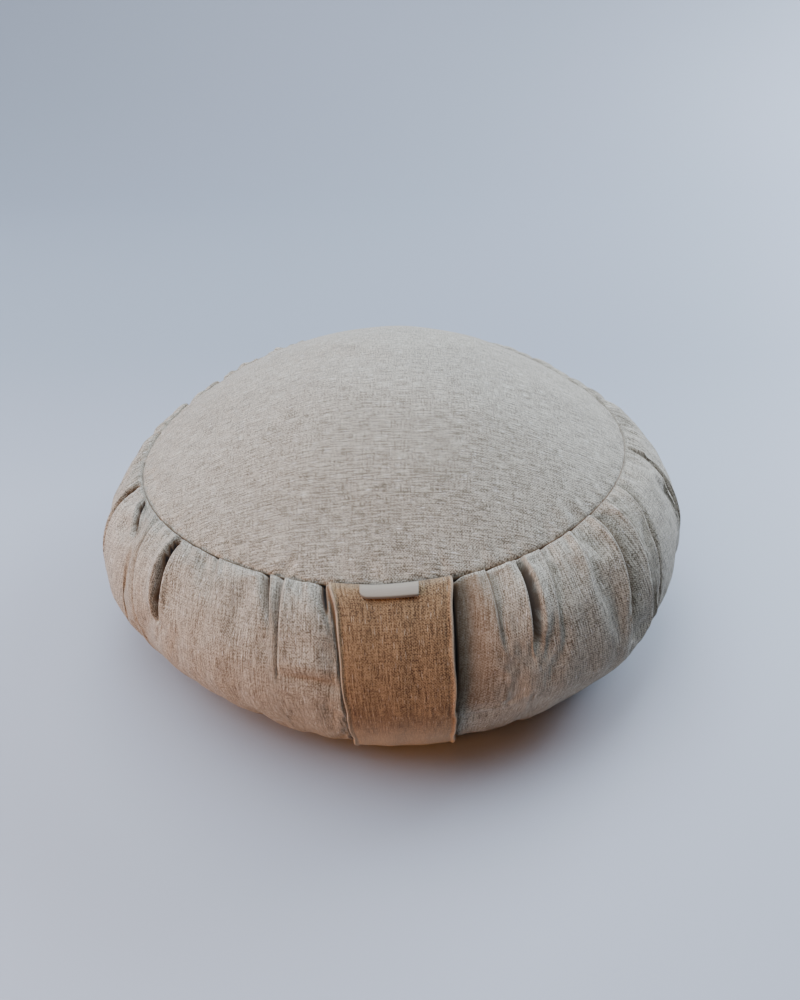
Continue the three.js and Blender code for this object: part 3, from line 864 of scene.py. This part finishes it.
def washed_linen(name, pale, deep, fleck, yarn_gap):
    """Washed linen, plain-woven of uneven yarns: matt, with long slubs, pale flecks and a soft fuzz.
    Each noise is drawn out over the real width and length of what it stands for, in mm across and along."""
    material, tree = new_material(name)
    uv = add_node(tree, "UVMap", {"uv_map": "cloth"}).outputs["UV"]
    noises = {}
    for key, across, along, detail, rough in (
        ("slub", yarn_gap, 11.0, 2.0, 0.6),
        ("cross yarn", 8.0, yarn_gap, 2.0, 0.6),
        ("grain", 0.7, 1.1, 2.0, 0.7),
        ("fleck", 0.6, 6.0, 1.0, 0.5),
        ("dark fleck", 0.8, 4.0, 1.0, 0.5),
        ("mottle", 38.0, 60.0, 2.0, 0.5),
        ("wander", 6.0, 6.0, 1.0, 0.5),
    ):
        scale = {"Scale": (1000 / across, 1000 / along, 1.0)}
        drawn = add_node(tree, "Mapping", values=scale, links={"Vector": uv})
        values = {"Scale": 1.0, "Detail": detail, "Roughness": rough}
        links = {"Vector": drawn.outputs["Vector"]}
        noises[key] = add_node(tree, "TexNoise", FLAT, values, links).outputs["Fac"]

    # The yarns pass over and under each other: a sine across times a sine along, both bent a little
    half_waves = {1: (np.pi * 1000 / yarn_gap,) * 3}
    turns = add_node(tree, "VectorMath", {"operation": "MULTIPLY"}, half_waves, {0: uv})
    axes = add_node(tree, "SeparateXYZ", links={"Vector": turns.outputs["Vector"]})
    waves = []
    for axis, bend in (("X", 14.0), ("Y", 9.0)):
        links = {0: noises["wander"], 2: axes.outputs[axis]}
        bent = add_node(tree, "Math", {"operation": "MULTIPLY_ADD"}, {1: bend}, links)
        waves.append(add_node(tree, "Math", {"operation": "SINE"}, links={0: bent.outputs[0]}))
    links = {0: waves[0].outputs[0], 1: waves[1].outputs[0]}
    weave = add_node(tree, "Math", {"operation": "MULTIPLY"}, links=links)
    links = {0: weave.outputs[0]}
    weave = add_node(tree, "Math", {"operation": "MULTIPLY_ADD"}, {1: 0.08, 2: 0.05}, links)
    for key, weight in (("slub", 0.42), ("cross yarn", 0.26), ("grain", 0.44), ("mottle", 0.06)):
        links = {0: noises[key], 2: weave.outputs[0]}
        weave = add_node(tree, "Math", {"operation": "MULTIPLY_ADD"}, {1: weight}, links)

    # Colour layers from below: where each starts and is full on its pattern, its strength and its colour
    painted_shading = add_node(tree, "Attribute", {"attribute_name": "painted_shading"}).outputs["Fac"]
    colour = add_node(tree, "RGB").outputs[0]
    colour.default_value = linear(deep)
    for pattern, low, high, strength, layer in (
        (weave.outputs[0], 0.51, 0.77, 1.0, pale),
        (noises["fleck"], 0.7, 0.8, 0.5, fleck),
        (noises["dark fleck"], 0.7, 0.77, 0.5, "#4a3d30"),
        # The last three layers are painted light: a pale painted highlight where the attribute is below 0,
        # then a brown and a black painted shade in seams, gaps and pleat hollows
        (painted_shading, 0.0, -1.0, 0.6, fleck),
        (painted_shading, 0.1, 0.5, 0.94, "#62492f"),
        (painted_shading, 0.5, 0.95, 0.98, "#0c0806"),
    ):
        limits = {"From Min": low, "From Max": high, "To Max": strength}
        share = add_node(tree, "MapRange", values=limits, links={"Value": pattern})
        links = {FACTOR: share.outputs["Result"], UNDER: colour}
        colour = add_node(tree, "Mix", COLOURS, {OVER: linear(layer)}, links).outputs[MIXED]

    # The yarns stand up from the cloth, and less so where shade is painted
    limits = {"From Max": 0.35, "To Min": 0.7, "To Max": 0.0}
    relief = add_node(tree, "MapRange", values=limits, links={"Value": painted_shading})
    links = {"Height": weave.outputs[0], "Strength": relief.outputs["Result"]}
    rise = add_node(tree, "Bump", values={"Distance": 0.0008}, links=links)
    values = {"Roughness": 0.94, "IOR": 1.5, "Specular IOR Level": 0.2}
    values.update({"Sheen Weight": 0.1, "Sheen Roughness": 0.6})
    links = {"Base Color": colour, "Normal": rise.outputs["Normal"]}
    shader = add_node(tree, "BsdfPrincipled", values=values, links=links)
    add_node(tree, "OutputMaterial", links={"Surface": shader.outputs["BSDF"]})
    return material


def woven_tape(name, colour):
    """Close-woven satin tape: fine crosswise ribs 0.4 mm apart and a soft, low gloss."""
    material, tree = new_material(name)
    uv = add_node(tree, "UVMap", {"uv_map": "cloth"}).outputs["UV"]
    scale = {"Scale": (1000 / 3.0, 1000 / 0.4, 1)}
    drawn = add_node(tree, "Mapping", values=scale, links={"Vector": uv}).outputs["Vector"]
    fine = {"Scale": 1.0, "Detail": 2.0}
    ribs = add_node(tree, "TexNoise", FLAT, fine, {"Vector": drawn}).outputs["Fac"]
    base = linear(colour)
    ends = {UNDER: tinted(base, 0.88, 0.88, 0.88), OVER: base}
    ribbed = add_node(tree, "Mix", COLOURS, ends, {FACTOR: ribs}).outputs[MIXED]

    # Painted shade: darker where the tape goes into the seam and under its folded end
    painted_shading = add_node(tree, "Attribute", {"attribute_name": "painted_shading"}).outputs["Fac"]
    links = {FACTOR: painted_shading, UNDER: ribbed}
    shaded = add_node(tree, "Mix", COLOURS, {OVER: linear("#3d352b")}, links).outputs[MIXED]
    rise = add_node(tree, "Bump", values={"Strength": 0.4, "Distance": 0.0002}, links={"Height": ribs})
    values = {"Roughness": 0.6, "IOR": 1.5, "Sheen Weight": 0.1}
    links = {"Base Color": shaded, "Normal": rise.outputs["Normal"]}
    shader = add_node(tree, "BsdfPrincipled", values=values, links=links)
    add_node(tree, "OutputMaterial", links={"Surface": shader.outputs["BSDF"]})
    return material


def painted_floor(name, colour):
    """Matt floor paint: rolled on, so nearly even, with very faint clouds, and darker towards the back."""
    material, tree = new_material(name)
    place = add_node(tree, "TexCoord").outputs["Object"]
    clouds = add_node(tree, "TexNoise", values={"Scale": 3.0, "Detail": 3.0}, links={"Vector": place})
    base = linear(colour)
    ends = {UNDER: tinted(base, 0.97, 0.97, 0.97), OVER: base}
    clouded = add_node(tree, "Mix", COLOURS, ends, {FACTOR: clouds.outputs["Fac"]}).outputs[MIXED]
    axes = add_node(tree, "SeparateXYZ", links={"Vector": place})
    limits = {"From Min": -0.15, "From Max": 0.45}
    links = {"Value": axes.outputs["Y"]}
    far = add_node(tree, "MapRange", {"interpolation_type": "SMOOTHSTEP"}, limits, links)
    links = {FACTOR: far.outputs["Result"], UNDER: clouded}
    darker = add_node(tree, "Mix", COLOURS, {OVER: tinted(base, 0.66, 0.69, 0.72)}, links)
    links = {"Base Color": darker.outputs[MIXED]}
    shader = add_node(tree, "BsdfPrincipled", values={"Roughness": 0.6, "IOR": 1.5}, links=links)
    add_node(tree, "OutputMaterial", links={"Surface": shader.outputs["BSDF"]})
    return material


def length_property(name, description, default):
    """A length that a user can change, in metres, from a default in mm."""
    return bpy.props.FloatProperty(
        name=name, description=description, default=default * MM, min=0.0, precision=5, unit="LENGTH"
    )


def colour_property(name, default):
    """A colour that a user can change, as an sRGB hex value such as "#c0a080"."""
    return bpy.props.StringProperty(name=name, description=name + " as sRGB hex", default=default)


def in_mm(length):
    """A length property in mm, with the error of its single precision rounded off."""
    return round(length / MM, 4)


class CushionSettings(bpy.types.PropertyGroup):
    """Sizes and colours of the cushion's cloths."""

    crown_height: length_property("Crown height", "Floor to the top of the dome", CROWN_HEIGHT)
    yarn_gap: length_property("Yarn spacing", "Middle of one yarn to the next", YARN_GAP)
    pressure: bpy.props.FloatProperty(
        name="Filling pressure", description="Pushes the cloth out", default=CLOTH_PRESSURE, min=0.0
    )
    # The fleck colours paint the yarns' slubs, and also the painted highlight on crests, rims and the
    # strap's lower end
    linen_pale: colour_property("Cover, palest yarns", "#b6ac98")
    linen_deep: colour_property("Cover, gaps between yarns", "#594e3d")
    linen_fleck_and_highlight: colour_property("Cover, slubs and painted highlights", "#ece6dc")
    strap_pale: colour_property("Strap, palest yarns", "#997c58")
    strap_deep: colour_property("Strap, gaps between yarns", "#432e1b")
    strap_fleck_and_highlight: colour_property("Strap, slubs and painted highlights", "#c6b59b")
    tape_colour: colour_property("Label tape", "#877b67")


class StageSettings(bpy.types.PropertyGroup):
    """Floor and light of the picture."""

    floor_colour: colour_property("Floor paint", "#a2a4a8")
    window_power: bpy.props.FloatProperty(
        name="Window light", description="Power of a cool light in watts", default=72.0, min=0.0
    )
    lamp_power: bpy.props.FloatProperty(
        name="Warm light", description="Power of the warm light in watts", default=10.0, min=0.0
    )


class CUSHION_OT_cover(bpy.types.Operator):
    """Makes the filled cover: crowned top, pleated band and flat base, closed at their seams"""

    bl_idname = "cushion.cover"
    bl_label = "Filled cover"

    def execute(self, context):
        """Builds the cover from the settings."""
        own = context.scene.cushion_settings
        colours = own.linen_pale, own.linen_deep, own.linen_fleck_and_highlight
        linen = washed_linen("washed_linen_woven", *colours, in_mm(own.yarn_gap))
        parts = cover_parts(in_mm(own.crown_height), own.pressure, simulate=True)
        piece = new_mesh("filled_cover", linen, *parts)
        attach(piece, "root")
        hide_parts("cushion_body")
        return {"FINISHED"}


class CUSHION_OT_strap(bpy.types.Operator):
    """Makes the carrying strap that lies over the front of the band"""

    bl_idname = "cushion.strap"
    bl_label = "Carrying strap"

    def execute(self, context):
        """Builds the strap from the settings."""
        own = context.scene.cushion_settings
        colours = own.strap_pale, own.strap_deep, own.strap_fleck_and_highlight
        linen = washed_linen("washed_linen_strap", *colours, in_mm(own.yarn_gap))
        *parts, length = strap_parts()
        piece = new_mesh("sewn_strap", linen, *parts)
        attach(piece, "root")
        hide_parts("carry_strap")
        return {"FINISHED"}


class CUSHION_OT_label(bpy.types.Operator):
    """Makes the blank folded label that hangs from the ring seam"""

    bl_idname = "cushion.label"
    bl_label = "Folded label"

    def execute(self, context):
        """Builds the label from the settings."""
        tape = woven_tape("satin_tape_woven", context.scene.cushion_settings.tape_colour)
        piece = new_mesh("folded_label", tape, *label_parts())
        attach(piece, "root")
        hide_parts("label")
        return {"FINISHED"}


def soft_light(name, place, width, height, power, colour):
    """An area light at place that faces LIGHT_TARGET."""
    data = bpy.data.lights.new(name, "AREA")
    data.shape = "RECTANGLE"
    data.size, data.size_y = width, height
    data.energy = power
    data.color = colour
    light = bpy.data.objects.new(name, data)
    light.location = place
    light.rotation_mode = "QUATERNION"
    light.rotation_quaternion = (Vector(LIGHT_TARGET) - Vector(place)).to_track_quat("-Z", "Y")
    bpy.context.scene.collection.objects.link(light)


class CUSHION_OT_stage(bpy.types.Operator):
    """Makes the floor, the lights and the camera"""

    bl_idname = "cushion.stage"
    bl_label = "Stage"

    def execute(self, context):
        """Builds the stage from its settings."""
        own = context.scene.stage_settings
        floor = self.make_floor(painted_floor("floor_paint_rolled", own.floor_colour))
        context.scene.collection.objects.link(floor)
        for name, place, width, height, colour, share in LIGHTS:
            power = own.window_power if colour == COOL else own.lamp_power
            soft_light(name, place, width, height, power * share, linear(colour)[:3])
        world = bpy.data.worlds.new("soft_room")
        world.use_nodes = True
        sky = world.node_tree.nodes["Background"]
        sky.inputs["Color"].default_value = linear(ROOM_COLOUR)
        sky.inputs["Strength"].default_value = ROOM_STRENGTH
        context.scene.world = world
        self.make_camera(context)
        return {"FINISHED"}

    def make_floor(self, paint):
        """A level floor that sweeps up behind the cushion: a line, a quarter circle and a line, drawn out
        sideways. It lies a hair below the base, so that the two don't share a plane."""
        bend, radius, reach = 1.0, 0.6, 4.0
        turn = np.linspace(0, np.pi / 2, 25)
        y = np.concatenate([[-reach], bend + radius * np.sin(turn), [bend + radius]])
        z = np.concatenate([[0.0], radius * (1 - np.cos(turn)), [reach]]) - FLOOR_DROP
        count = len(y)
        points = [(x, a, b) for x in (-reach, reach) for a, b in zip(y.tolist(), z.tolist())]
        faces = [(i, count + i, count + i + 1, i + 1) for i in range(count - 1)]
        mesh = bpy.data.meshes.new("floor")
        mesh.from_pydata(points, [], faces)
        mesh.polygons.foreach_set("use_smooth", np.ones(len(faces), bool))
        mesh.materials.append(paint)
        return bpy.data.objects.new("floor", mesh)

    def make_camera(self, context):
        """The camera looks along CAMERA_FORWARD, turned about it by CAMERA_ROLL against the clock."""
        forward = Vector(CAMERA_FORWARD).normalized()
        right = forward.cross(Vector((0, 0, 1))).normalized()
        up = right.cross(forward)
        roll = np.radians(CAMERA_ROLL)
        turned_right = right * np.cos(roll) + up * np.sin(roll)
        turned_up = up * np.cos(roll) - right * np.sin(roll)
        data = bpy.data.cameras.new("camera")
        data.sensor_width = 36.0
        data.lens = CAMERA_LENS
        camera = bpy.data.objects.new("camera", data)
        columns = Matrix((turned_right, turned_up, -forward)).transposed().to_4x4()
        camera.matrix_world = Matrix.Translation(CAMERA_PLACE) @ columns
        context.scene.collection.objects.link(camera)
        context.scene.camera = camera


class CUSHION_PT_panel(bpy.types.Panel):
    """Lists the cushion's pieces and settings"""

    bl_label = "Round cushion"
    bl_idname = "CUSHION_PT_panel"
    bl_space_type = "VIEW_3D"
    bl_region_type = "UI"
    bl_category = "Cushion"

    def draw(self, context):
        """A button for every operator, then every setting."""
        for operator in OPERATORS:
            self.layout.operator(operator.bl_idname)
        for group in (context.scene.cushion_settings, context.scene.stage_settings):
            for key in group.bl_rna.properties.keys():
                if key not in ("rna_type", "name"):
                    self.layout.prop(group, key)


OPERATORS = (CUSHION_OT_cover, CUSHION_OT_strap, CUSHION_OT_label, CUSHION_OT_stage)
CLASSES = (CushionSettings, StageSettings, *OPERATORS, CUSHION_PT_panel)


def register():
    """Adds the classes to Blender, and the settings to its scenes."""
    for cls in CLASSES:
        bpy.utils.register_class(cls)
    bpy.types.Scene.cushion_settings = bpy.props.PointerProperty(type=CushionSettings)
    bpy.types.Scene.stage_settings = bpy.props.PointerProperty(type=StageSettings)


def unregister():
    """Takes the settings and the classes out again, in the reverse order."""
    del bpy.types.Scene.stage_settings
    del bpy.types.Scene.cushion_settings
    for cls in reversed(CLASSES):
        bpy.utils.unregister_class(cls)


def main():
    """Builds every piece in order."""
    register()
    bpy.ops.cushion.cover()
    bpy.ops.cushion.strap()
    bpy.ops.cushion.label()
    bpy.ops.cushion.stage()


if __name__ == "__main__":
    main()
